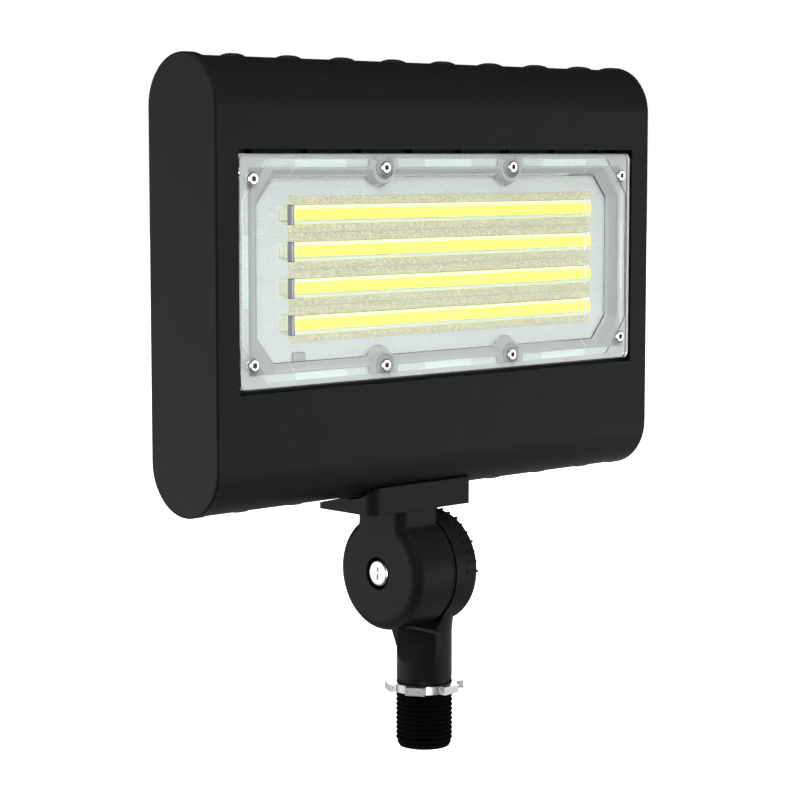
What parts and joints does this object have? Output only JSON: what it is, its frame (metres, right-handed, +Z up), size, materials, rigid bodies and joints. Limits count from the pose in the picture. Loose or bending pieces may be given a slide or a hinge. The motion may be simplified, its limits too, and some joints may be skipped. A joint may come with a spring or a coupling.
{
  "type": "led flood light",
  "caption": "Slim black LED flood light with four lit rows behind a clear lens, finned open back, tilting knuckle and a threaded conduit stem with locknut.",
  "frame": {"origin": "on the conduit thread's axis, level with the locknut's lower seating face", "axes": "+Z up along the stem, the lens faces -Y, +X to the right seen from the front, along the tilt pivot"},
  "size_m": [0.2209, 0.0442, 0.2575],
  "materials": {
    "black_paint": "smooth semi-gloss black powder coat on die-cast aluminium",
    "zinc": "bright zinc-plated steel",
    "lens_plastic": "clear moulded polycarbonate, lightly prismatic",
    "black_rubber": "moulded EPDM rubber",
    "grey_silicone": "die-cut silicone sheet",
    "board_white": "white solder mask and moulded nylon",
    "phosphor": "yellow phosphor in silicone",
    "board_green": "green glass-epoxy board",
    "dark_plastic": "moulded black nylon",
    "can_aluminium": "drawn aluminium can",
    "red_insulation": "silicone-insulated wire",
    "black_insulation": "silicone-insulated wire"
  },
  "bodies": {
    "stem": {"knuckle_stem": "black_paint", "knuckle_seal": "black_rubber", "pivot_bolt": "zinc", "pivot_washer": "zinc", "pivot_nut": "zinc"},
    "nut_carrier": {"locknut_ring": "black_rubber"},
    "locknut": {"locknut": "zinc"},
    "head": {"knuckle_base": "black_paint", "base_gasket": "black_rubber", "base_screws": "zinc", "front_housing": "black_paint", "heat_sink": "black_paint", "frame_screws": "zinc", "lens": "lens_plastic", "lens_gasket": "grey_silicone", "lens_screws": "zinc", "led_board": "board_white", "led_terminal": "board_white", "thermal_pad": "grey_silicone", "rear_cover": "black_paint", "cover_gasket": "grey_silicone", "cover_screws": "zinc", "breather_vent": "dark_plastic", "driver_board": "board_green", "driver_screws": "zinc", "driver_transformer": "dark_plastic", "driver_capacitors": "can_aluminium", "driver_choke": "dark_plastic", "input_terminal": "board_white", "ground_screw": "zinc", "duct_grommet": "black_rubber", "led_lead_red": "red_insulation", "led_lead_black": "black_insulation", "led_row_1": "phosphor", "led_row_2": "phosphor", "led_row_3": "phosphor", "led_row_4": "phosphor"}
  },
  "joints": [
    {"name": "tilt", "type": "hinge", "parent": "stem", "child": "head", "pos_m": [0, 0, 0.04695], "axis": [1, 0, 0], "range_deg": [-90, 90]},
    {"name": "locknut_travel", "type": "slide", "parent": "stem", "child": "nut_carrier", "axis": [0, 0, 1], "range_m": [-0.01815, 0]},
    {"name": "locknut_turn", "type": "hinge", "parent": "nut_carrier", "child": "locknut", "pos_m": [0, 0, 0], "axis": [0, 0, 1], "range_deg": [-3600, 0]}
  ],
  "couplings": [
    {"joint": "locknut_travel", "follows": "locknut_turn", "m_per_rad": 0.00028875}
  ]
}
